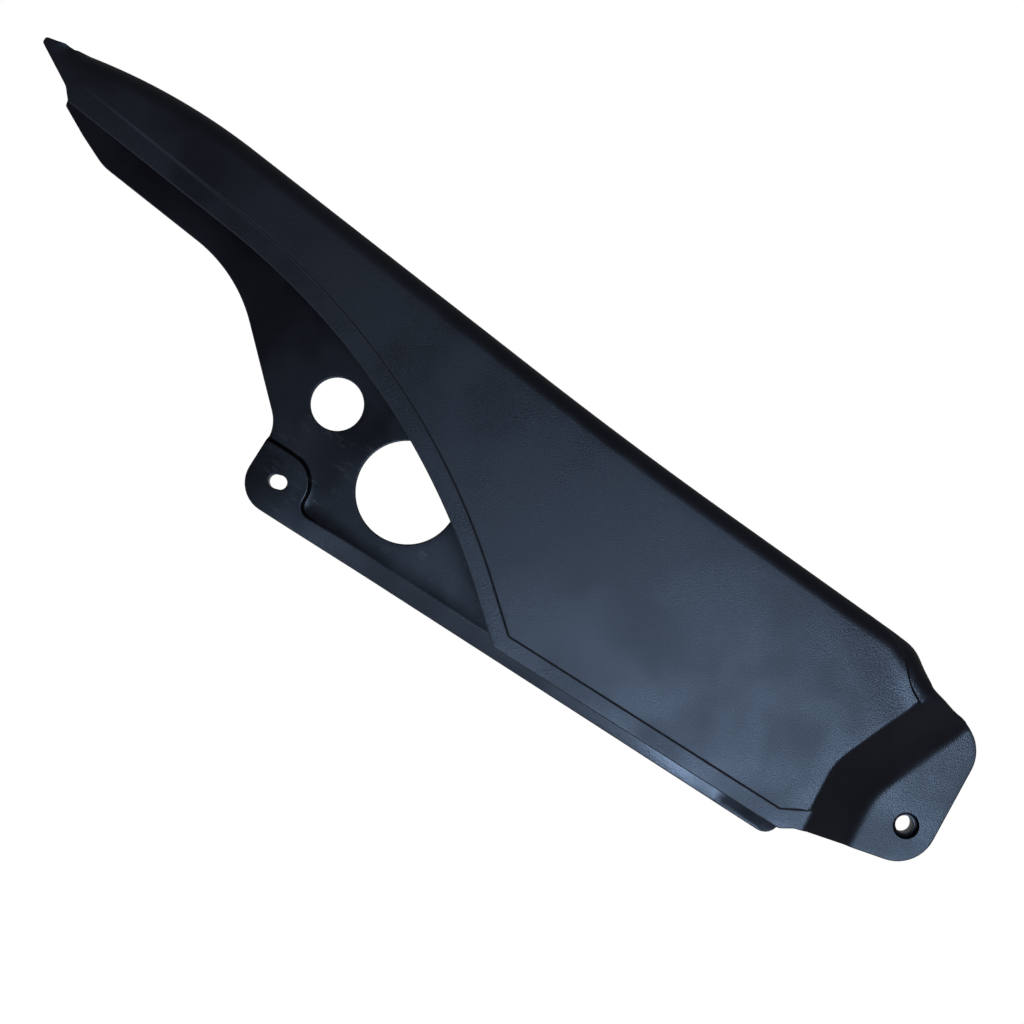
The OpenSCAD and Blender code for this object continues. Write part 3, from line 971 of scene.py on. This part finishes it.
# %% Floor
PALE_FLOOR = 0.72
FLOOR_AT = (-0.25, -0.50, -0.40)
bpy.ops.mesh.primitive_plane_add(size=1.3, location=FLOOR_AT)
floor = bpy.context.object
floor.name = "floor"
floor_look = bpy.data.materials.new("pale_floor")
floor_look.use_nodes = True
tree = floor_look.node_tree
tree.nodes["Principled BSDF"].inputs["Base Color"].default_value = (0.86, 0.86, 0.87, 1)
tree.nodes["Principled BSDF"].inputs["Roughness"].default_value = 0.9
floor_path = node(tree, "ShaderNodeLightPath")
either = node(tree, "ShaderNodeMath", operation="MAXIMUM")
any_of = node(tree, "ShaderNodeMath", operation="MAXIMUM")
pale = node(tree, "ShaderNodeMath", operation="MULTIPLY")
pale.inputs[1].default_value = PALE_FLOOR
for start_socket, end_socket in (
    (floor_path.outputs["Is Camera Ray"], either.inputs[0]),
    (floor_path.outputs["Is Glossy Ray"], either.inputs[1]),
    (either.outputs[0], any_of.inputs[0]),
    (floor_path.outputs["Is Transmission Ray"], any_of.inputs[1]),
    (any_of.outputs[0], pale.inputs[0]),
    (pale.outputs[0], tree.nodes["Principled BSDF"].inputs["Emission Strength"]),
):
    tree.links.new(start_socket, end_socket)
tree.nodes["Principled BSDF"].inputs["Emission Color"].default_value = (1, 1, 1, 1)
floor.data.materials.append(floor_look)
print("floor below the bolt hole in mm:", round(-FLOOR_AT[2] / MM))


# %% The lamp
def soft_lamp(name, place, target, size, power, colour):
    """A lamp with a broad square face that looks from its place at the target."""
    lamp = bpy.data.lights.new(name, "AREA")
    lamp.shape, lamp.size, lamp.size_y = "RECTANGLE", size[0], size[1]
    lamp.energy, lamp.color = power, colour
    holder = bpy.data.objects.new(name, lamp)
    scene.collection.objects.link(holder)
    holder.location = place
    holder.rotation_euler = (Vector(target) - Vector(place)).to_track_quat("-Z", "Y").to_euler()
    return holder


DAYLIGHT = (0.88, 0.94, 1.0)
LAMP_AT, LAMP_AIM = (0.6, -2.1, -0.6), (-0.2, 0.0, 0.02)
LAMP_SIZE, LAMP_WATTS = (0.9, 0.9), 60
soft_lamp("key_softbox", LAMP_AT, LAMP_AIM, LAMP_SIZE, LAMP_WATTS, DAYLIGHT)

# %% World
ROOM_LEVEL = 0.13
world = bpy.data.worlds.new("studio")
scene.world = world
world.use_nodes = True
tree = world.node_tree
tree.nodes.clear()
path = node(tree, "ShaderNodeLightPath")
direction = node(tree, "ShaderNodeTexCoord")
parts = node(tree, "ShaderNodeSeparateXYZ")
behind = ranged(tree, 0.93, 0.99, interpolation_type="SMOOTHSTEP")
mirrored = node(tree, "ShaderNodeMath", operation="MAXIMUM")
paper = node(tree, "ShaderNodeMath", operation="MULTIPLY")
seen = node(tree, "ShaderNodeMath", operation="MAXIMUM")
room_light = node(tree, "ShaderNodeBackground", Color=(1, 1, 1, 1), Strength=ROOM_LEVEL)
backdrop = node(tree, "ShaderNodeBackground", Color=(1, 1, 1, 1), Strength=1.0)
blend = node(tree, "ShaderNodeMixShader")
result = node(tree, "ShaderNodeOutputWorld")
for start_socket, end_socket in (
    (direction.outputs["Generated"], parts.inputs["Vector"]),
    (parts.outputs["Y"], behind.inputs["Value"]),
    (path.outputs["Is Glossy Ray"], mirrored.inputs[0]),
    (path.outputs["Is Transmission Ray"], mirrored.inputs[1]),
    (mirrored.outputs[0], paper.inputs[0]),
    (behind.outputs["Result"], paper.inputs[1]),
    (path.outputs["Is Camera Ray"], seen.inputs[0]),
    (paper.outputs[0], seen.inputs[1]),
    (seen.outputs[0], blend.inputs["Fac"]),
    (room_light.outputs[0], blend.inputs[1]),
    (backdrop.outputs[0], blend.inputs[2]),
    (blend.outputs[0], result.inputs["Surface"]),
):
    tree.links.new(start_socket, end_socket)
scene.view_settings.view_transform = "Standard"
print("room light:", ROOM_LEVEL)
